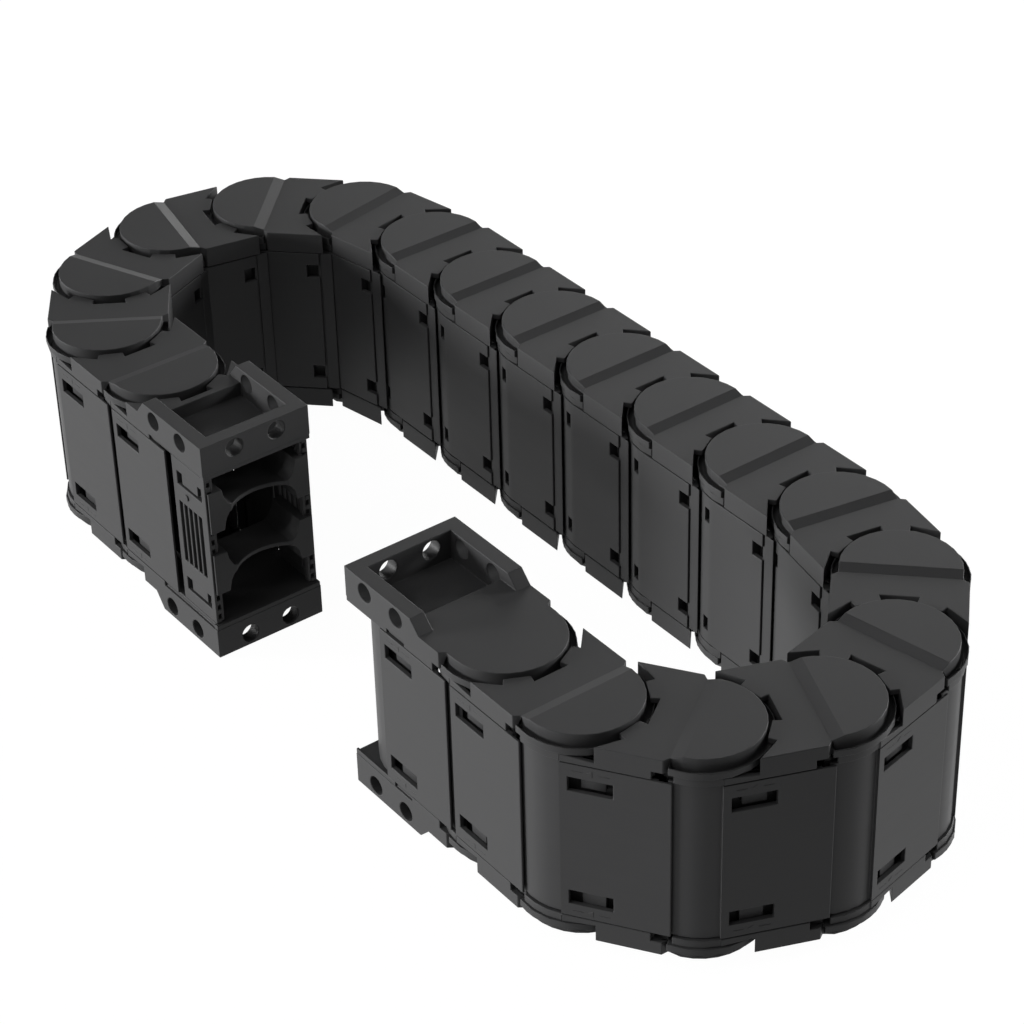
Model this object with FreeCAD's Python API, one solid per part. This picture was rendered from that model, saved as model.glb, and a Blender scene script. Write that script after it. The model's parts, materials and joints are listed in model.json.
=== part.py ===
import FreeCAD, Part
import math
import os

# Enclosed cable drag chain lying on its side, in millimetres, +Z up.
# Eighteen links and two end brackets turn on nineteen upright pivots.
# X runs along the straight run, and the origin is at the centre of the box's underside.

V = FreeCAD.Vector

# Chain
pitch = 67.0
link_count = 18
link_width = 140.0
bend_limit = 34.0
bend_full = 33.75
bend_part = 11.25

# Side plate
plate_height = 77.4
plate_depth = 14.0
disc_radius = 35.0
disc_rise = 2.0
ledge_radius = 39.6
ledge_drop = 6.0
ramp_length = 7.0
shoulder_length = 9.7
corner_setback = 19.4
window_radius = 42.2
window_half_angle = 15.5
window_side_angle = 39.0
ledge_flats = 12
disc_flats = 16
lip_radius = 37.0
stop_distance = 22.0
tongue_width = 30.0
tongue_thickness = 5.0
recess_width = 54.0
strip_thickness = 2.6
strip_step = 0.4
strip_cover = 6.0
strip_taper = 1.8
strip_flats = 3
hollow_end = 16.0
skirt_start = 240.0
skirt_end = 282.0
running_gap = 0.3
side_gap = 0.2

# Lids
lid_thickness = 3.0
lid_start = 4.7
lip_length = 7.5
lip_thickness = 1.6
nose_thickness = 2.0
nose_gap = 0.4
nose_cover = 12.0
nose_flats = 4
inner_lid_end = 22.8
inner_nose_start = 20.3
inner_nose_cover = 40.0
inner_nose_step = 3.2
slot_height = 9.6
slot_inset = 25.4
slot_start = 37.0
slot_end = 62.3
notch_length = 8.7
window_start = 4.0
window_end = 8.7

# End brackets
frame_height = 156.0
frame_lift = 3.3
frame_wall = 10.0
frame_end_wall = 9.5
frame_slope = 8.0
floor_thickness = 4.0
inset_depth = 1.5
fixed_length = 99.5
fixed_rise_start = 27.8
fixed_pocket_start = 43.0
moving_length = 107.0
moving_rise_start = 33.3
moving_pocket_start = 45.5
bolt_radius = 6.0
bolt_edge = 2.2
fixed_bolt_first = 19.5
moving_bolt_first = 24.5
side_bolt_spacing = 30.0
end_bolt_spacing = 30.0

# Strain relief at the moving end
comb_thickness = 4.0
comb_tooth_pitch = 7.0
comb_notch_width = 3.5
comb_notch_depth = 2.5
comb_skin = 1.6
comb_end_gap = 2.0
comb_lid_gap = 5.5
grille_slots = 5
grille_pitch = 5.5
grille_slot_width = 3.6
grille_half_height = 22.5
grille_inset = 5.0
divider_thickness = 3.0
divider_depth = 31.0
divider_foot_height = 29.4
divider_foot_inner = 26.5
divider_scoop_depth = 7.0
divider_scoop_half = 20.5
divider_hook = 3.0
divider_heights = (28.7, -16.7)

half_width = link_width / 2
half_height = plate_height / 2
body_top = half_width - disc_rise
body_inner = body_top - plate_depth
ledge_top = half_width - ledge_drop
tongue_top = body_inner + tongue_thickness
recess_top = tongue_top + running_gap
lid_half = body_inner - side_gap
frame_top = frame_height / 2
frame_low = body_inner + frame_lift
bolt_height = frame_top - bolt_edge - bolt_radius


def polar(radius, degrees):
    angle = math.radians(degrees)
    return radius * math.cos(angle), radius * math.sin(angle)


def prism(points, z_low, z_high):
    wire = Part.makePolygon([V(x, y, z_low) for x, y in points] + [V(points[0][0], points[0][1], z_low)])
    return Part.Face(wire).extrude(V(0, 0, z_high - z_low))


def block(x_low, x_high, y_low, y_high, z_low, z_high):
    return Part.makeBox(x_high - x_low, y_high - y_low, z_high - z_low, V(x_low, y_low, z_low))


def arc_points(centre_x, radius, start, end, flats):
    turns = [start + (end - start) * i / flats for i in range(flats + 1)]
    return [(centre_x + polar(radius, a)[0], polar(radius, a)[1]) for a in turns]


def mirrored(solid):
    return solid.mirror(V(0, 0, 0), V(0, 0, 1))


# The hinge's own halves. The disc end has its pivot at x = 0, the socket end at x = pitch.
def socket_points():
    """Half of the socket's cut outline, from the corner to the middle window."""
    points = [(pitch - corner_setback, half_height)]
    for angle in (window_side_angle, window_half_angle):
        x, y = polar(window_radius, angle)
        points.append((pitch - x, y))
    return points


def socket_outline():
    upper = socket_points()
    return upper + [(x, -y) for x, y in reversed(upper)]


def socket_lips():
    """The two lips between the windows, which lie over the next link's ledge."""
    lips = []
    for side in (1, -1):
        start, end = 180 - side * window_side_angle, 180 - side * window_half_angle
        corners = [polar(lip_radius, start), polar(lip_radius, end),
                   polar(window_radius + 1.0, end), polar(window_radius + 1.0, start)]
        points = [(pitch + x, y) for x, y in corners]
        lips.append(prism(points, ledge_top + running_gap, body_top))
    return lips


def tongue():
    """Runs under the next link's disc; its two end flats are the straight and the bend stop."""
    reach = stop_distance - running_gap
    half = tongue_width / 2
    turn = math.radians(bend_limit)
    low_x = (reach - half * math.sin(turn)) / math.cos(turn)
    between = [polar(reach, -bend_limit * i / 4) for i in range(4, -1, -1)]
    root = -window_radius - 2.0
    points = [(root, -half), (low_x, -half)] + between + [(reach, half), (root, half)]
    return prism([(pitch + x, y) for x, y in points], body_inner, tongue_top)


def ledge_start():
    return math.degrees(math.acos(ramp_length / ledge_radius))


def disc_end():
    """The raised half disc, and the ledge that runs under the neighbour's lips."""
    first = ledge_start()
    ledge = prism(arc_points(0, ledge_radius, first, 360 - first, ledge_flats), recess_top, ledge_top)
    disc = prism(arc_points(0, disc_radius, 90, 270, disc_flats), ledge_top, half_width)
    return [ledge, disc]


def ramp():
    """Leads from the disc's top down to the body's."""
    side = Part.makePolygon([V(0, -disc_radius, ledge_top), V(0, -disc_radius, half_width),
                             V(ramp_length, -disc_radius, body_top), V(ramp_length, -disc_radius, ledge_top),
                             V(0, -disc_radius, ledge_top)])
    return Part.Face(side).extrude(V(0, 2 * disc_radius, 0))


def skirt():
    """Closes the ledge's inner side down to the inner lid's curved part."""
    outside = arc_points(0, half_height, skirt_start, skirt_end, strip_flats)
    inside = arc_points(0, half_height - strip_thickness, skirt_end, skirt_start, strip_flats)
    return prism(outside + inside, body_inner, recess_top)


def strip_radius():
    return half_height - strip_step


def strip_end():
    return 90 - bend_limit - strip_cover


def side_strip():
    """Runs from the socket's outer corner, tapered, and bends around the next link's disc end."""
    inner = half_height - strip_thickness
    root = pitch - corner_setback - strip_thickness - 1.0
    corner = pitch - corner_setback
    side = Part.makePolygon([V(root, inner, body_inner), V(pitch, inner, body_inner), V(pitch, inner, tongue_top),
                             V(corner, inner, tongue_top - strip_taper), V(root, inner, tongue_top - strip_taper),
                             V(root, inner, body_inner)])
    straight = Part.Face(side).extrude(V(0, strip_thickness, 0))
    radius = strip_radius()
    outside = arc_points(pitch, radius, 90, strip_end(), strip_flats)
    inside = arc_points(pitch, radius - strip_thickness, strip_end(), 90, strip_flats)
    return straight.fuse(prism(outside + inside, body_inner, tongue_top))


def disc_recess():
    """Clears the neighbour's tongue and side strip; its far wall is what the stops meet."""
    below = body_inner - 1.0
    radius = strip_radius()
    far = strip_end() - 4.0
    outside = arc_points(0, radius + running_gap, 90, far, strip_flats)
    inside = arc_points(0, radius - strip_thickness - running_gap, far, 90, strip_flats)
    return [block(-ledge_radius - 1, ramp_length, -ledge_radius - 1, ledge_radius + 1, below, recess_top),
            block(0, stop_distance, -recess_width / 2, recess_width / 2, below, recess_top),
            block(0, hollow_end, radius - strip_thickness - running_gap, half_height + 1, below, recess_top),
            prism(outside + inside, below, recess_top)]


def body_start():
    """The plate's shoulders at its disc end."""
    return [(shoulder_length, -half_height), (ramp_length, -disc_radius), (ramp_length, disc_radius),
            (shoulder_length, half_height)]


def link_plate():
    body = prism(body_start() + socket_outline(), body_inner, body_top)
    plate = body.fuse(disc_end() + [ramp()] + socket_lips() + [tongue(), side_strip()])
    return plate.cut(disc_recess()).fuse(skirt()).removeSplitter()


def pair(plate):
    return Part.makeCompound([plate, mirrored(plate)])


# Lids
def lid_slots(x_low, x_high, y_low, y_high):
    high = half_width - slot_inset
    return [block(x_low, x_high, y_low, y_high, z - slot_height, z) for z in (high, slot_height - high)]


def outer_lid():
    """Flat panel on the convex side, with a nose that turns under the next link's lid."""
    inner = half_height - lid_thickness
    nose = half_height - lip_thickness - nose_gap
    end = 90 - bend_limit - nose_cover
    points = [(lid_start, half_height - lip_thickness), (lid_start, half_height), (pitch, half_height)]
    points += arc_points(pitch, nose, 90, end, nose_flats)
    points += arc_points(pitch, nose - nose_thickness, end, 90, 2)
    points += [(pitch - lid_thickness, inner), (lid_start + lip_length, inner),
               (lid_start + lip_length, half_height - lip_thickness)]
    lid = prism(points, -lid_half, lid_half)
    return lid.cut(lid_slots(slot_start, slot_end, inner - 1, half_height + 1))


def inner_lid():
    """Flat panel on the concave side, curved about its own pivot and closed by an inner nose."""
    inner = half_height - lid_thickness
    flat_end = pitch - inner_lid_end
    nose = half_height - inner_nose_step
    back = nose - nose_thickness
    start, end = 270 - inner_nose_start, 270 - inner_nose_cover
    points = [(flat_end, -half_height), (flat_end, -inner), (0, -inner), polar(back, start), polar(back, end)]
    points += arc_points(0, nose, end, start, 2) + arc_points(0, half_height, start, 270, nose_flats)
    lid = prism(points, -lid_half, lid_half)
    cuts = lid_slots(flat_end - notch_length, flat_end + 1, -half_height - 1, -inner + 1)
    cuts += lid_slots(-window_end, -window_start, -half_height - 1, -inner + 4)
    return lid.cut(cuts)


def end_inner_lid():
    """The moving end's inner lid: it has no disc end to curve around, so it is flat."""
    inner = half_height - lid_thickness
    flat_end = pitch - inner_lid_end
    lid = block(lid_start, flat_end, -half_height, -inner, -lid_half, lid_half)
    return lid.cut(lid_slots(flat_end - notch_length, flat_end + 1, -half_height - 1, -inner + 1))


# End brackets
def bolt_hole(x, y, z, direction, depth):
    return Part.makeCylinder(bolt_radius, depth, V(x, y, z), direction)


def frame_walls(x_open, x_free, start_height):
    """Two raised side walls that rise from the plate by a slope, and the end wall between them."""
    toward = 1 if x_free > x_open else -1
    x_top = x_open + toward * frame_slope
    walls = []
    for y in (-half_height, half_height - frame_wall):
        corners = [(x_open, frame_low), (x_free, frame_low), (x_free, frame_top), (x_top, frame_top),
                   (x_open, start_height), (x_open, frame_low)]
        side = Part.Face(Part.makePolygon([V(x, y, z) for x, z in corners]))
        walls.append(side.extrude(V(0, frame_wall, 0)))
    ends = sorted((x_free, x_free - toward * frame_end_wall))
    walls.append(block(ends[0], ends[1], -half_height, half_height, frame_low, frame_top))
    return walls


def pocket_floor(x_pocket, x_free):
    """The floor between the walls, and the inset plate under it that the lids meet."""
    toward = 1 if x_free > x_pocket else -1
    inset = half_height - inset_depth
    outer = sorted((x_pocket, x_free))
    inner = sorted((x_pocket, x_free - toward * inset_depth))
    return [block(outer[0], outer[1], -half_height, half_height, frame_low, frame_low + floor_thickness),
            block(inner[0], inner[1], -inset, inset, body_inner, frame_low)]


def frame_holes(x_free, toward, first):
    """Two screw holes through each side wall, and two through the end wall."""
    holes = []
    for i in range(2):
        x = x_free - toward * (first + i * side_bolt_spacing)
        holes.append(bolt_hole(x, -half_height - 1, bolt_height, V(0, 1, 0), plate_height + 2))
        y = (i - 0.5) * end_bolt_spacing
        holes.append(bolt_hole(x_free + toward, y, bolt_height, V(-toward, 0, 0), frame_end_wall + 2))
    return holes


def fixed_plate():
    """The fixed end's side plate: a disc end, and a frame behind it."""
    start = fixed_pocket_start
    body = prism(body_start() + [(start, half_height), (start, -half_height)], body_inner, half_width)
    pieces = frame_walls(fixed_rise_start, fixed_length, half_width) + pocket_floor(start, fixed_length)
    joint = block(0, shoulder_length, -disc_radius, disc_radius, ledge_top, half_width)
    plate = body.fuse(disc_end() + [joint] + pieces)
    plate = plate.cut(disc_recess() + frame_holes(fixed_length, 1, fixed_bolt_first))
    return plate.fuse(skirt()).removeSplitter()


def moving_plate():
    """The moving end's side plate: a socket end, and a frame behind it."""
    x_free = moving_end_x()
    x_pocket = pitch - moving_pocket_start
    body = prism([(x_pocket, -half_height), (x_pocket, half_height)] + socket_outline(), body_inner, body_top)
    pieces = frame_walls(pitch - moving_rise_start, x_free, body_top) + pocket_floor(x_pocket, x_free)
    void = socket_outline() + [(pitch, -plate_height), (pitch, plate_height)]
    void = prism(void, body_inner - 1, frame_height)
    plate = body.fuse(pieces).cut([void] + frame_holes(x_free, -1, moving_bolt_first))
    return plate.fuse(socket_lips() + [tongue(), side_strip()]).removeSplitter()


def moving_end_x():
    return pitch - moving_length


def comb_bar(side):
    """Crossbar across the opening: a grille outside, and notches along its free edge for cable ties."""
    x_low = moving_end_x() + comb_end_gap
    x_high = lid_start - comb_lid_gap
    y_high = half_height - inset_depth
    y_low = y_high - comb_thickness
    bar = block(x_low, x_high, y_low, y_high, -lid_half, lid_half)
    count = int((2 * lid_half - comb_notch_width) / comb_tooth_pitch) + 1
    cuts = []
    for i in range(count):
        z = (i - (count - 1) / 2) * comb_tooth_pitch - comb_notch_width / 2
        cuts.append(block(x_low - 1, x_low + comb_notch_depth, y_low - 1, y_high - comb_skin,
                          z, z + comb_notch_width))
    grille_high = x_high - grille_inset
    for i in range(grille_slots):
        x = grille_high - i * grille_pitch
        cuts.append(block(x - grille_slot_width, x, y_low - 1, y_high + 1, -grille_half_height, grille_half_height))
    grille_low = grille_high - grille_slots * grille_pitch
    cuts += lid_slots(grille_low, grille_high, y_low - 1, y_high + 1)
    bar = bar.cut(cuts)
    return bar if side > 0 else bar.mirror(V(0, 0, 0), V(0, 1, 0))


def divider(z):
    """Cross web between the crossbars, scooped at its free end, with a waisted foot at each side."""
    reach = half_height - inset_depth - comb_thickness - side_gap
    half_web, half_foot, waist = divider_thickness / 2, divider_foot_height / 2, divider_foot_inner
    side = [(waist - 7.5, half_web), (waist - 4, half_web + 2), (waist - 1.5, half_web + 6.5), (waist, half_foot),
            (reach, half_foot)]
    half = side + [(y, -height) for y, height in reversed(side)]
    section = half + [(-y, -height) for y, height in half]
    x_free = moving_end_x()
    wire = Part.makePolygon([V(x_free, y, z + height) for y, height in section + section[:1]])
    body = Part.Face(wire).extrude(V(divider_depth, 0, 0))
    radius = (divider_scoop_half ** 2 + divider_scoop_depth ** 2) / (2 * divider_scoop_depth)
    scoop = Part.makeCylinder(radius, 2 * half_foot, V(x_free + divider_scoop_depth - radius, 0, z - half_foot))
    hooks = [block(x_free, x_free + comb_end_gap - running_gap, min(y, y + s * divider_hook),
                   max(y, y + s * divider_hook), z - half_foot, z + half_foot)
             for s, y in ((1, reach), (-1, -reach))]
    return body.cut(scoop).fuse(hooks).removeSplitter()


# Where each pivot stands, and which way each link points
bends = [0.0] + [bend_full] * 5 + [bend_part] + [0.0] * 5 + [bend_part] + [bend_full] * 5 + [0.0]
headings = [180.0]
for bend in bends:
    headings.append(headings[-1] - bend)
pivots = [V(0, 0, 0)]
for heading in headings[1:-1]:
    x, y = polar(pitch, heading)
    pivots.append(pivots[-1].add(V(x, y, 0)))


def placed(shape, pivot, heading):
    copy = shape.copy()
    copy.rotate(V(0, 0, 0), V(0, 0, 1), heading)
    copy.translate(pivot)
    return copy


nodes = {}
plates, outside, inside = pair(link_plate()), outer_lid(), inner_lid()
for i in range(link_count):
    number = "link_%02d" % (i + 1)
    for name, shape in (("side_plates", plates), ("outer_lid", outside), ("inner_lid", inside)):
        nodes[number + "_" + name] = placed(shape, pivots[i], headings[i + 1])

moving_x, moving_y = polar(pitch, headings[0])
moving_origin = pivots[0].sub(V(moving_x, moving_y, 0))
moving_parts = {
    "moving_end_side_plates": pair(moving_plate()),
    "moving_end_lids": Part.makeCompound([outside, end_inner_lid()]),
    "moving_end_comb_bars": Part.makeCompound([comb_bar(1), comb_bar(-1)]),
    "moving_end_dividers": Part.makeCompound([divider(z) for z in divider_heights]),
}
for name, shape in moving_parts.items():
    nodes[name] = placed(shape, moving_origin, headings[0])
fixed_parts = {
    "fixed_end_side_plates": pair(fixed_plate()),
    "fixed_end_lids": Part.makeCompound([outside, inside]),
}
for name, shape in fixed_parts.items():
    nodes[name] = placed(shape, pivots[-1], headings[-1])

whole = Part.makeCompound(list(nodes.values())).BoundBox
shift = V(-(whole.XMin + whole.XMax) / 2, -(whole.YMin + whole.YMax) / 2, -whole.ZMin)
os.makedirs("parts", exist_ok=True)
for name, shape in nodes.items():
    shape.translate(shift)
    shape.exportStep(os.path.join("parts", name + ".step"))

print("size", round(whole.XLength, 3), round(whole.YLength, 3), round(whole.ZLength, 3))
for i, pivot in enumerate(pivots):
    point = pivot.add(shift)
    print("pivot", i + 1, round(point.x, 4), round(point.y, 4))
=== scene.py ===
import json
import math
import bmesh
import bpy
from mathutils import Matrix, Vector


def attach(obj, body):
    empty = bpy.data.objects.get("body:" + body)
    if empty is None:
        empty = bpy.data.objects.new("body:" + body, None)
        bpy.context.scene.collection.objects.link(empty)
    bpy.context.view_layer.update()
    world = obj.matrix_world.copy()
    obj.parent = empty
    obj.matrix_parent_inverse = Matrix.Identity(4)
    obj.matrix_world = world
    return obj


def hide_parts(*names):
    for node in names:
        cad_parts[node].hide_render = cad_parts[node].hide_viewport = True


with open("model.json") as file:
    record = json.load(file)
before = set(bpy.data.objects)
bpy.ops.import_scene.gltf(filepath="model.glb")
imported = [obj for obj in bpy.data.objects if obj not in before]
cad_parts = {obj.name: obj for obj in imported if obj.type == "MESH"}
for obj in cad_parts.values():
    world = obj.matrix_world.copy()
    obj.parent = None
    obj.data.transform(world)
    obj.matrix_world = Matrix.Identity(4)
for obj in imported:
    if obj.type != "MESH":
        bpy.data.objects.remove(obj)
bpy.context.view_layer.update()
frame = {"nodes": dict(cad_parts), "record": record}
mm = 0.001


# Nodes for materials and for repeated shapes
class Wire:
    def __init__(self, graph, socket):
        self.graph = graph
        self.socket = socket

    def math(self, operation, first, second):
        return self.graph.add("ShaderNodeMath", {"operation": operation}, {0: first, 1: second})

    def __add__(self, other):
        return self.math("ADD", self, other)

    def __sub__(self, other):
        return self.math("SUBTRACT", self, other)

    def __rsub__(self, other):
        return self.math("SUBTRACT", other, self)

    def __mul__(self, other):
        return self.math("MULTIPLY", self, other)

    __radd__ = __add__
    __rmul__ = __mul__


class Graph:
    def __init__(self, tree):
        self.tree = tree

    def add(self, kind, settings=None, values=None, output=0):
        node = self.tree.nodes.new(kind)
        for key, value in (settings or {}).items():
            setattr(node, key, value)
        for key, value in (values or {}).items():
            for item in value if isinstance(value, list) else [value]:
                if isinstance(item, Wire):
                    self.tree.links.new(item.socket, node.inputs[key])
                else:
                    node.inputs[key].default_value = item
        return Wire(self, node.outputs[output]) if len(node.outputs) else None


def newMaterial(name):
    material = bpy.data.materials.new(name)
    material.use_nodes = True
    material.node_tree.nodes.clear()
    return material, Graph(material.node_tree)


nylonLook = {
    "grey": 0.058,
    "greyShare": 0.95,
    "blueShare": 1.02,
    "roughness": 0.48,
    "specular": 0.16,
    "grainScale": 1400.0,
    "grainDetail": 2.0,
    "grainDepth": 0.10,
    "grainHeight": 0.2 * mm,
    "cloudScale": 14.0,
    "cloudDetail": 3.0,
    "cloudTone": 0.22,
    "cloudRoughness": 0.12,
    "scuffScale": (22.0, 22.0, 160.0),
    "scuffDetail": 6.0,
    "scuffWarp": 0.6,
    "scuffTone": 0.10,
    "scuffRoughness": 0.10,
}
noiseMiddle = 0.5


def noise(graph, place, scale, detail, warp=0.0):
    return graph.add("ShaderNodeTexNoise", None, {
        "Vector": place, "Scale": scale, "Detail": detail, "Distortion": warp})


def nylonMaterial(look):
    material, graph = newMaterial("blackNylon")
    place = graph.add("ShaderNodeTexCoord", output="Object")
    streaks = graph.add("ShaderNodeVectorMath", {"operation": "MULTIPLY"}, {0: place, 1: look["scuffScale"]})
    grain = noise(graph, place, look["grainScale"], look["grainDetail"])
    cloud = noise(graph, place, look["cloudScale"], look["cloudDetail"]) - noiseMiddle
    scuff = noise(graph, streaks, 1.0, look["scuffDetail"], look["scuffWarp"]) - noiseMiddle
    tone = look["grey"] * (look["greyShare"] + cloud * look["cloudTone"] + scuff * look["scuffTone"])
    color = graph.add("ShaderNodeCombineColor", None, {
        "Red": tone, "Green": tone, "Blue": tone * look["blueShare"]})
    bump = graph.add("ShaderNodeBump", None, {
        "Height": grain, "Strength": look["grainDepth"], "Distance": look["grainHeight"]})
    rough = look["roughness"] + cloud * look["cloudRoughness"] + scuff * look["scuffRoughness"]
    body = graph.add("ShaderNodeBsdfPrincipled", None, {
        "Base Color": color, "Normal": bump, "Specular IOR Level": look["specular"], "Roughness": rough})
    graph.add("ShaderNodeOutputMaterial", None, {"Surface": body})
    return material


nylon = nylonMaterial(nylonLook)
print("nylon done")


# Trees for what repeats
def startTree(name, inputs):
    tree = bpy.data.node_groups.new(name, "GeometryNodeTree")
    tree.interface.new_socket("Geometry", in_out="OUTPUT", socket_type="NodeSocketGeometry")
    for label, kind in inputs.items():
        tree.interface.new_socket(label, in_out="INPUT", socket_type="NodeSocket" + kind)
    tree.interface.new_socket("Finish", in_out="INPUT", socket_type="NodeSocketMaterial")
    graph = Graph(tree)
    entry = tree.nodes.new("NodeGroupInput")
    return graph, {socket.name: Wire(graph, socket) for socket in entry.outputs if socket.name}


def endTree(graph, shape, finish):
    solid = graph.add("GeometryNodeRealizeInstances", None, {"Geometry": shape})
    painted = graph.add("GeometryNodeSetMaterial", None, {"Geometry": solid, "Material": finish})
    graph.add("NodeGroupOutput", None, {"Geometry": painted})
    return graph.tree


def linkTree():
    graph, given = startTree("chainLink", {"Model": "Object", "Pivot": "Vector", "Heading": "Float"})
    model = graph.add("GeometryNodeObjectInfo", None, {"Object": given["Model"]}, output="Geometry")
    turn = graph.add("ShaderNodeCombineXYZ", None, {"Z": given["Heading"]})
    point = graph.add("GeometryNodeMeshLine", None, {"Count": 1, "Start Location": given["Pivot"]})
    chain = graph.add("GeometryNodeInstanceOnPoints", None, {
        "Points": point, "Instance": model, "Rotation": turn})
    return endTree(graph, chain, given["Finish"])


def blockTree():
    graph, given = startTree("blockRow", {
        "Size": "Vector", "Start": "Vector", "Step": "Vector", "Count": "Int"})
    block = graph.add("GeometryNodeMeshCube", None, {"Size": given["Size"]})
    line = graph.add("GeometryNodeMeshLine", None, {
        "Count": given["Count"], "Start Location": given["Start"], "Offset": given["Step"]})
    row = graph.add("GeometryNodeInstanceOnPoints", None, {"Points": line, "Instance": block})
    return endTree(graph, row, given["Finish"])


# The head and the dashes are shares of the mark's width
markLook = {
    "width": 5.0, "depth": 0.5,
    "x": 49.5, "face": 38.6, "height": 49.2,
    "headRadius": 0.5, "dashLength": 1.3, "dashWidth": 0.14, "dashAside": 1.5,
}


def markTree(look):
    graph, given = startTree("arrowMarks", {
        "Width": "Float", "Depth": "Float", "Start": "Vector", "Step": "Vector", "Turn": "Vector"})
    head = graph.add("GeometryNodeMeshCylinder", {"fill_type": "NGON"}, {
        "Vertices": 3, "Radius": given["Width"] * look["headRadius"], "Depth": given["Depth"]}, output="Mesh")
    size = graph.add("ShaderNodeCombineXYZ", None, {
        "X": given["Width"] * look["dashLength"], "Y": given["Width"] * look["dashWidth"],
        "Z": given["Depth"]})
    dash = graph.add("GeometryNodeMeshCube", None, {"Size": size})
    aside = graph.add("ShaderNodeCombineXYZ", None, {"X": given["Width"] * -look["dashAside"]})
    apart = graph.add("ShaderNodeCombineXYZ", None, {"X": given["Width"] * (2 * look["dashAside"])})
    ends = graph.add("GeometryNodeMeshLine", None, {"Count": 2, "Start Location": aside, "Offset": apart})
    dashes = graph.add("GeometryNodeInstanceOnPoints", None, {"Points": ends, "Instance": dash})
    both = graph.add("GeometryNodeJoinGeometry", None, {"Geometry": [head, dashes]})
    line = graph.add("GeometryNodeMeshLine", None, {
        "Count": 2, "Start Location": given["Start"], "Offset": given["Step"]})
    row = graph.add("GeometryNodeInstanceOnPoints", None, {
        "Points": line, "Instance": both, "Rotation": given["Turn"]})
    return endTree(graph, row, given["Finish"])


trees = {"link": linkTree(), "block": blockTree(), "mark": markTree(markLook)}


def grown(name, tree, values):
    piece = bpy.data.objects.new(name, bpy.data.meshes.new(name))
    bpy.context.scene.collection.objects.link(piece)
    shape = piece.modifiers.new("shape", "NODES")
    shape.node_group = trees[tree]
    for item in trees[tree].interface.items_tree:
        if item.in_out == "INPUT":
            shape[item.identifier] = dict(values, Finish=nylon)[item.name]
    return piece


def applied(piece):
    depsgraph = bpy.context.evaluated_depsgraph_get()
    mesh = bpy.data.meshes.new_from_object(piece.evaluated_get(depsgraph), depsgraph=depsgraph)
    mesh.name = piece.name
    piece.modifiers.clear()
    piece.data = mesh
    return piece


# Small solids in a link's own place, in mm
def blockRow(name, low, high, step=(0, 0, 0), count=1):
    size = [(b - a) * mm for a, b in zip(low, high)]
    start = [(b + a) / 2 * mm for a, b in zip(low, high)]
    step = [s * mm for s in step]
    return applied(grown(name, "block", {"Size": size, "Start": start, "Step": step, "Count": count}))


def blockPair(name, low, high):
    return blockRow(name, low, high, (0, 0, -low[2] - high[2]), 2)


def prism(name, points, low, high):
    work = bmesh.new()
    loops = [[work.verts.new((x * mm, y * mm, z * mm)) for x, y in points] for z in (low, high)]
    for loop in loops:
        work.faces.new(loop)
    for i in range(len(points)):
        k = (i + 1) % len(points)
        work.faces.new((loops[0][i], loops[0][k], loops[1][k], loops[1][i]))
    bmesh.ops.recalc_face_normals(work, faces=work.faces)
    mesh = bpy.data.meshes.new(name)
    work.to_mesh(mesh)
    work.free()
    piece = bpy.data.objects.new(name, mesh)
    bpy.context.scene.collection.objects.link(piece)
    return piece


def arc(radius, start, end, flats):
    turns = [math.radians(start + (end - start) * i / flats) for i in range(flats + 1)]
    return [(math.cos(turn) * radius, math.sin(turn) * radius) for turn in turns]


# Dressing a CAD node: merged, grooved, joined to its small pieces, and with its edges rounded
edgeLook = {
    "width": 2.0 * mm,
    "plain": 0.25,
    "small": 0.2,
    "hole": 0.35,
    "fillet": 0.8,
    "ramp": 0.12,
    "segments": 3,
    "sharpAngle": 32.0,
    "holeSegment": 1.6 * mm,
}
cleanLook = {"merge": 0.002 * mm, "flat": 0.6, "near": 0.05 * mm, "rampNear": 0.02 * mm}
pocketLook = {"from": 61.3, "to": 58.4}
seamLook = {"from": 53.8, "to": 53.35}
discLook = {
    "radius": 35.0,
    "flats": 16,
    "ledge": 64.0,
    "ramp": 7.0,
    "rampHeight": 67.5,
    "grooveRadius": 38.8,
    "grooveDepth": 3.7,
    "grooveEnd": 6.2,
    "grooveFlats": 24,
    "grooveAbove": 8.0,
}


def grooveCutter(look, side):
    inner = [(look["grooveEnd"], look["radius"])] + arc(look["radius"], 90, 270, look["flats"])
    inner.append((look["grooveEnd"], -look["radius"]))
    first = math.degrees(math.acos(look["grooveEnd"] / look["grooveRadius"]))
    outer = arc(look["grooveRadius"], 360 - first, first, look["grooveFlats"])
    floorLevel, topLevel = look["ledge"] - look["grooveDepth"], look["ledge"] + look["grooveAbove"]
    low, high = sorted((side * floorLevel, side * topLevel))
    return prism("groove", inner + outer, low, high)


def onDisc(vert):
    return abs(math.hypot(vert.co.x, vert.co.y) - discLook["radius"] * mm) < cleanLook["near"]


def isGrooveFloorEdge(edge):
    height = (discLook["ledge"] - discLook["grooveDepth"]) * mm
    return all(abs(abs(v.co.z) - height) < cleanLook["near"] and onDisc(v) for v in edge.verts)


def isRampEdge(edge):
    near, rampEnd, top = cleanLook["rampNear"], discLook["ramp"] * mm, discLook["rampHeight"] * mm
    onLine = [min(abs(v.co.x), abs(v.co.x - rampEnd)) < near and abs(v.co.z) > top for v in edge.verts]
    return all(onLine) and abs(edge.verts[0].co.x - edge.verts[1].co.x) < near


def edgeWeight(edge, look, holes):
    if len(edge.link_faces) != 2:
        return 0.0
    if isRampEdge(edge):
        return look["ramp"]
    if edge.calc_face_angle() < math.radians(look["sharpAngle"]):
        return 0.0
    if isGrooveFloorEdge(edge):
        return look["fillet"]
    if holes and edge.calc_length() < look["holeSegment"]:
        return look["hole"]
    return look["plain"]


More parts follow.
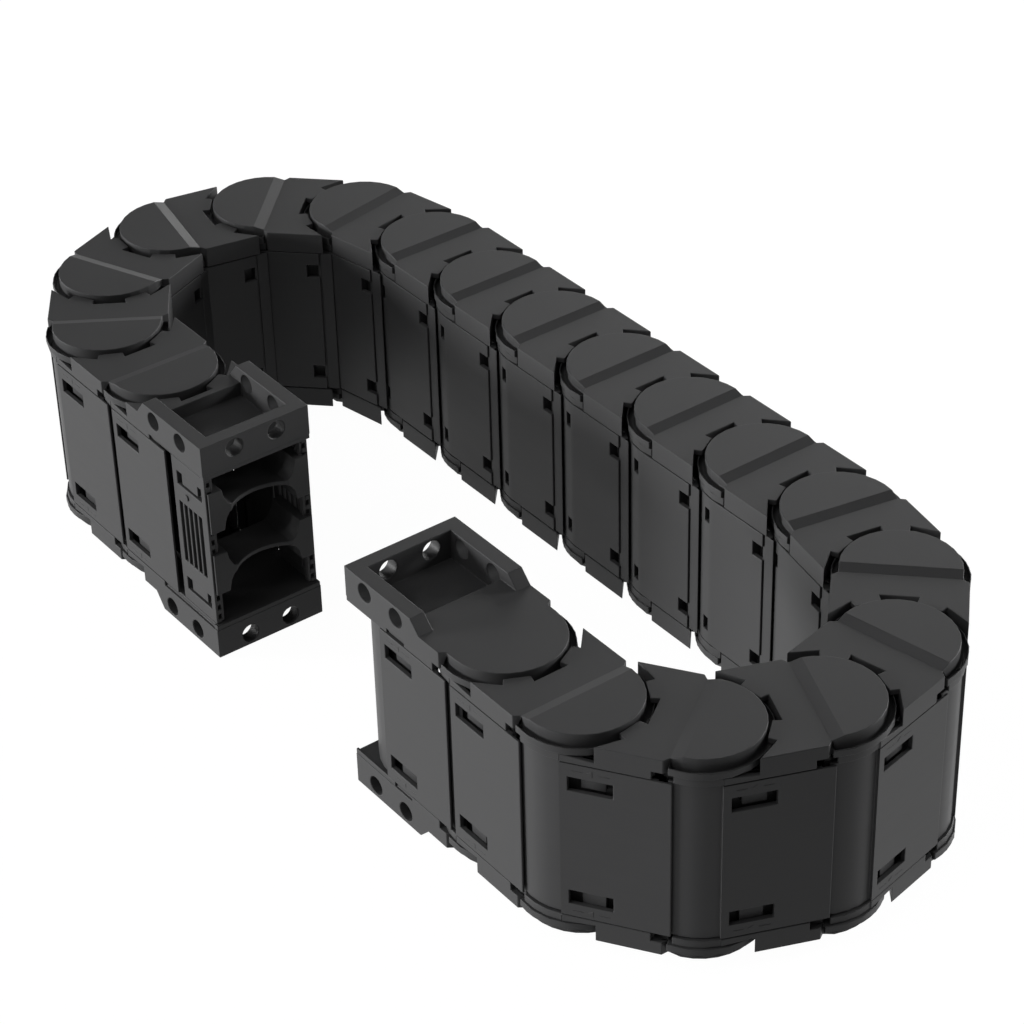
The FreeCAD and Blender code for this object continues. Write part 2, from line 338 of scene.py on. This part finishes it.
def moveLevel(work, look):
    for vert in work.verts:
        if abs(abs(vert.co.z) - look["from"] * mm) < cleanLook["near"]:
            vert.co.z = math.copysign(look["to"] * mm, vert.co.z)


def cleaned(mesh):
    work = bmesh.new()
    work.from_mesh(mesh)
    bmesh.ops.remove_doubles(work, verts=work.verts, dist=cleanLook["merge"])
    bmesh.ops.dissolve_limit(work, angle_limit=math.radians(cleanLook["flat"]), verts=work.verts,
                             edges=work.edges, delimit={"NORMAL"})
    return work


def cutGrooves(piece):
    cutters = [grooveCutter(discLook, side) for side in (1, -1)]
    for cutter in cutters:
        cut = piece.modifiers.new("groove", "BOOLEAN")
        cut.operation = "DIFFERENCE"
        cut.solver = "EXACT"
        cut.object = cutter
    applied(piece)
    for cutter in cutters:
        bpy.data.objects.remove(cutter)


def joined(node, mesh, extras, holes):
    work = cleaned(mesh)
    weights = work.edges.layers.float.new("bevel_weight_edge")
    for edge in work.edges:
        edge[weights] = edgeWeight(edge, edgeLook, holes)
    for extra in extras:
        start = len(work.edges)
        work.from_mesh(extra.data)
        work.edges.ensure_lookup_table()
        for edge in work.edges[start:]:
            edge[weights] = edgeLook["small"]
        bpy.data.objects.remove(extra)
    whole = bpy.data.meshes.new(node)
    work.to_mesh(whole)
    work.free()
    for face in whole.polygons:
        face.use_smooth = True
        face.material_index = 0
    whole.materials.clear()
    whole.materials.append(nylon)
    return whole


def rounded(piece, look):
    edges = piece.modifiers.new("edges", "BEVEL")
    edges.limit_method = "WEIGHT"
    edges.width = look["width"]
    edges.segments = look["segments"]
    edges.use_clamp_overlap = False
    normals = piece.modifiers.new("normals", "WEIGHTED_NORMAL")
    normals.keep_sharp = True
    return applied(piece)


def dressed(node, place, extras=(), holes=False, groove=False):
    work = cleaned(frame["nodes"][node].data)
    bmesh.ops.transform(work, matrix=place.inverted(), verts=work.verts)
    if holes:
        moveLevel(work, pocketLook)
    if node.endswith(("lid", "lids")):
        moveLevel(work, seamLook)
    mesh = bpy.data.meshes.new(node)
    work.to_mesh(mesh)
    work.free()
    piece = bpy.data.objects.new("model_" + node, mesh)
    bpy.context.scene.collection.objects.link(piece)
    if groove:
        cutGrooves(piece)
    piece.data = joined(node, piece.data, extras, holes)
    return rounded(piece, edgeLook)


# Where each link stands, from the joints in the record
pivots = {int(j["name"].split("_")[1]): Vector(j["pos_m"]) for j in frame["record"]["behaviour"]["joints"]}
linkCount = len(pivots) - 1
pitch = 67.0


def linkPlace(number):
    step = pivots[number + 1] - pivots[number]
    return pivots[number], math.atan2(step.y, step.x)


def matrixOf(pivot, heading):
    return Matrix.Translation(pivot) @ Matrix.Rotation(heading, 4, "Z")


halfTurn = Matrix.Rotation(math.pi, 4, "Z")
fixedMatrix = Matrix.Translation(pivots[linkCount + 1]) @ halfTurn
movingMatrix = Matrix.Translation(pivots[1] + Vector((pitch * mm, 0, 0))) @ halfTurn

# Latch catches behind the slots, with walls and rails that keep light out of them
catchLook = {
    "from": 42.0, "to": 55.6,
    "face": 35.4, "back": 31.0,
    "low": 36.4, "high": 53.8,
    "wallFrom": 24.0, "wallTo": 66.3, "wallBack": 29.0, "wallLow": 23.0, "wallLap": 0.2,
    "railFrom": 1.0, "railTo": 9.5, "railFace": 32.2, "railBack": 30.8, "railLow": 46.0, "railHigh": 54.05,
}
innerLook = {
    "notchFrom": 33.5, "notchTo": 43.2, "notchFace": 32.6,
    "windowFrom": -12.0, "windowTo": -1.0, "windowFace": 33.6,
    "back": 30.5, "low": 28.5, "high": 53.8,
    "sealTo": 35.4, "sealFace": 36.0,
}


def outerCatches(look):
    return [
        blockPair("catches", (look["from"], look["back"], look["low"]),
                  (look["to"], look["face"], look["high"])),
        blockPair("catches", (look["wallFrom"], look["wallBack"], look["wallLow"]),
                  (look["wallTo"], look["back"] + look["wallLap"], look["high"])),
        blockPair("catches", (look["railFrom"], look["railBack"], look["railLow"]),
                  (look["railTo"], look["railFace"], look["railHigh"])),
    ]


def innerCatches(look, window=True):
    names = ("notch", "window") if window else ("notch",)
    pieces = [blockPair("catches", (look[name + "From"], -look[name + "Face"], look["low"]),
                        (look[name + "To"], -look["back"], look["high"])) for name in names]
    pieces.append(blockPair("seal", (look["notchFrom"], -look["sealFace"], look["low"]),
                            (look["sealTo"], -look["back"], look["high"])))
    return pieces


# Strip, web and nose that close the gap from one inner lid to the next
gapStripLook = {
    "from": 45.1, "to": 52.8, "face": 37.9, "back": 37.2, "half": 53.3,
    "webFrom": 43.0, "webTo": 49.5, "webFace": 37.3, "webBack": 35.2,
    "webRadius": 39.0, "webStart": 233.0, "webEnd": 242.0, "webFlats": 4,
}
noseLook = {"start": 226.0, "end": 250.0, "outer": 38.45, "inner": 36.0, "flats": 5, "half": 53.3}


def nextArc(radius, start, end, flats):
    return [(x + pitch, y) for x, y in arc(radius, start, end, flats)]


def gapStrip(look):
    half = look["half"]
    curve = nextArc(look["webRadius"], look["webEnd"], look["webStart"], look["webFlats"])
    web = [(look["webFrom"], -look["webFace"]), (look["webTo"], -look["webFace"]),
           (look["webTo"], -look["webBack"])]
    web += curve + [(look["webFrom"], curve[-1][1])]
    return [blockRow("gapStrip", (look["from"], -look["face"], -half), (look["to"], -look["back"], half)),
            prism("gapWeb", web, -half, half)]


def innerNose(look):
    points = arc(look["outer"], look["start"], look["end"], look["flats"])
    points += arc(look["inner"], look["end"], look["start"], look["flats"])
    return prism("nose", points, -look["half"], look["half"])


# Plain marks where the real lids have lettering
def arrowMarks(look):
    return applied(grown("arrowMarks", "mark", {
        "Width": look["width"] * mm, "Depth": look["depth"] * mm,
        "Start": (look["x"] * mm, look["face"] * mm, look["height"] * mm),
        "Step": (0, 0, -2 * look["height"] * mm), "Turn": (math.pi / 2, 0, 0)}))


# One link is dressed, and all links repeat it
baseLink = 8
home = matrixOf(*linkPlace(baseLink))
linkParts = {
    "side_plates": outerCatches(catchLook) + innerCatches(innerLook),
    "outer_lid": [arrowMarks(markLook)],
    "inner_lid": [innerNose(noseLook)] + gapStrip(gapStripLook),
}
for part, extras in linkParts.items():
    model = dressed("link_%02d_%s" % (baseLink, part), home, extras, groove=part == "side_plates")
    for number in range(1, linkCount + 1):
        pivot, heading = linkPlace(number)
        piece = applied(grown("link%02d_%s" % (number, part), "link",
                              {"Model": model, "Pivot": pivot, "Heading": heading}))
        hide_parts("link_%02d_%s" % (number, part))
        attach(piece, "link_%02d" % number)
    bpy.data.objects.remove(model)
print("links done")

# Comb bars: tongues with a pin, and backs behind the slots
tongueLook = {
    "from": -28.2, "to": -10.5, "back": 33.6, "face": 36.5,
    "low": 36.2, "high": 44.4, "lowerShift": 1.2,
    "pinRadius": 2.1, "pinX": -15.7, "pinZ": 29.3, "pinLow": 36.9, "pinHigh": 38.1, "pinSides": 24,
    "combFrom": -37.6, "combTo": -33.0, "combBack": 31.4, "combFace": 33.3, "combHalf": 53.0,
    "backFrom": -29.7, "backTo": -4.3, "backBehind": 1.2, "backLap": 0.4, "backLow": 33.0, "backHigh": 46.4,
}


def sideSpan(side, first, second):
    return sorted((side * first, side * second))


def tonguePin(look):
    step = 360 / look["pinSides"]
    points = arc(look["pinRadius"], 0, 360 - step, look["pinSides"] - 1)
    pin = prism("pin", points, look["pinLow"], look["pinHigh"])
    pin.data.transform(Matrix.Translation((look["pinX"] * mm, 0, look["pinZ"] * mm))
                       @ Matrix.Rotation(-math.pi / 2, 4, "X"))
    return pin


def barTongues(look):
    pieces = [tonguePin(look)]
    shift = look["lowerShift"]
    for side in (1, -1):
        ys = sideSpan(side, look["back"], look["face"])
        for low, high in ((look["low"], look["high"]), (-look["high"] + shift, -look["low"] + shift)):
            pieces.append(blockRow("tongue", (look["from"], ys[0], low), (look["to"], ys[1], high)))
        ys = sideSpan(side, look["combBack"], look["combFace"])
        pieces.append(blockRow("combBack", (look["combFrom"], ys[0], -look["combHalf"]),
                               (look["combTo"], ys[1], look["combHalf"])))
        ys = sideSpan(side, look["back"] - look["backBehind"], look["back"] + look["backLap"])
        pieces.append(blockPair("tongueBack", (look["backFrom"], ys[0], look["backLow"]),
                                (look["backTo"], ys[1], look["backHigh"])))
    return pieces


# Pieces that close sight lines in the brackets; the fills are given as low and high corners
baffleLook = {
    "start": 232.0, "end": 249.0, "inner": 39.65, "outer": 42.3, "flats": 4,
    "low": -64.2, "high": -60.0,
}
movingFillLook = {
    "ledge": ((4.9, -35.6, 52.4), (44.0, -34.5, 54.1)),
    "sill": ((-39.9, -38.3, 54.1), (-36.0, 38.3, 57.4)),
}
fixedFillLook = {
    "wall": ((44.0, 29.0, 20.0), (80.0, 31.1, 53.8)),
    "sill": ((60.0, 36.9, 53.9), (99.4, 38.4, 57.4)),
}


def baffle(look):
    points = nextArc(look["outer"], look["start"], look["end"], look["flats"])
    points += nextArc(look["inner"], look["end"], look["start"], look["flats"])
    return prism("baffle", points, look["low"], look["high"])


def fillPairs(look):
    return [blockPair(name, low, high) for name, (low, high) in look.items()]


brackets = {
    "moving_end_side_plates": (outerCatches(catchLook) + innerCatches(innerLook, window=False)
                               + [baffle(baffleLook)] + fillPairs(movingFillLook)),
    "moving_end_lids": [arrowMarks(markLook)] + gapStrip(gapStripLook),
    "moving_end_comb_bars": barTongues(tongueLook),
    "moving_end_dividers": [],
    "fixed_end_side_plates": outerCatches(catchLook) + innerCatches(innerLook) + fillPairs(fixedFillLook),
    "fixed_end_lids": [arrowMarks(markLook), innerNose(noseLook)],
}
for node, extras in brackets.items():
    place = movingMatrix if node.startswith("moving") else fixedMatrix
    piece = dressed(node, place, extras, holes=node.endswith("side_plates"),
                    groove=node == "fixed_end_side_plates")
    piece.data.transform(place)
    piece.name = node.replace("_end_", "End_")
    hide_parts(node)
    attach(piece, "moving_end" if node.startswith("moving") else "fixed_end")
print("brackets done")

# Floor and light
stageLook = {
    "floorSize": 30.0,
    "floorHeight": -0.4 * mm,
    "floorGrey": 0.35,
    "floorShare": 0.8,
    "floorWhite": 1.22,
    "worldGrey": 0.15,
    "key": {"azimuth": -128.0, "elevation": 4.0, "strength": 4.7, "angle": 20.0},
    "side": {"azimuth": 78.0, "elevation": 6.0, "strength": 4.2, "angle": 24.0},
    "back": {"azimuth": 132.0, "elevation": 12.0, "strength": 0.75, "angle": 24.0},
    "top": {"azimuth": -100.0, "elevation": 50.0, "strength": 0.55, "angle": 40.0},
}


def directionOf(azimuth, elevation):
    across, height = math.radians(azimuth), math.radians(elevation)
    level = math.cos(height)
    return Vector((math.cos(across) * level, math.sin(across) * level, math.sin(height)))


def floorMaterial(look):
    material, graph = newMaterial("paleFloor")
    rays = [graph.add("ShaderNodeLightPath", output=name)
            for name in ("Is Camera Ray", "Is Glossy Ray", "Is Transmission Ray")]
    seen = (rays[0] + rays[1] + rays[2]) * look["floorShare"]
    matte = graph.add("ShaderNodeBsdfDiffuse", None, {"Color": (look["floorGrey"],) * 3 + (1.0,)})
    glow = graph.add("ShaderNodeEmission", None, {"Color": (1, 1, 1, 1), "Strength": look["floorWhite"]})
    both = graph.add("ShaderNodeMixShader", None, {0: seen, 1: matte, 2: glow})
    graph.add("ShaderNodeOutputMaterial", None, {"Surface": both})
    return material


bpy.ops.mesh.primitive_plane_add(size=stageLook["floorSize"], location=(0, 0, stageLook["floorHeight"]))
floor = bpy.context.object
floor.name = "floor"
floor.data.materials.append(floorMaterial(stageLook))

world = bpy.data.worlds.new("studio")
bpy.context.scene.world = world
world.use_nodes = True
sky = world.node_tree.nodes["Background"]
sky.inputs["Color"].default_value = (1, 1, 1, 1)
sky.inputs["Strength"].default_value = stageLook["worldGrey"]

for name in ("key", "side", "back", "top"):
    lampLook = stageLook[name]
    lamp = bpy.data.lights.new(name, "SUN")
    lamp.energy = lampLook["strength"]
    lamp.angle = math.radians(lampLook["angle"])
    sun = bpy.data.objects.new(name, lamp)
    toward = directionOf(lampLook["azimuth"], lampLook["elevation"])
    sun.matrix_world = toward.to_track_quat("Z", "Y").to_matrix().to_4x4()
    bpy.context.scene.collection.objects.link(sun)

# The camera that was fitted to the photograph
cameraLook = {
    "position": (1.26407, -0.89743, 1.16026),
    "azimuth": -36.10,
    "elevation": 34.80,
    "roll": -1.59,
    "focalPixels": 3064.8,
    "imagePixels": 1024,
    "sensorWidth": 36.0,
    "clipEnd": 60.0,
}
back = directionOf(cameraLook["azimuth"], cameraLook["elevation"])
right = Vector((-back.y, back.x, 0)).normalized()
up = back.cross(right)
roll = math.radians(cameraLook["roll"])
axisX = right * math.cos(roll) + up * math.sin(roll)
axisY = up * math.cos(roll) - right * math.sin(roll)
camera = bpy.data.objects.new("camera", bpy.data.cameras.new("camera"))
turn = Matrix((axisX, axisY, back)).transposed().to_4x4()
camera.matrix_world = Matrix.Translation(Vector(cameraLook["position"])) @ turn
camera.data.sensor_width = cameraLook["sensorWidth"]
camera.data.lens = cameraLook["sensorWidth"] * cameraLook["focalPixels"] / cameraLook["imagePixels"]
camera.data.clip_end = cameraLook["clipEnd"]
bpy.context.scene.collection.objects.link(camera)
bpy.context.scene.camera = camera
bpy.context.scene.view_settings.view_transform = "Standard"
print("studio done")
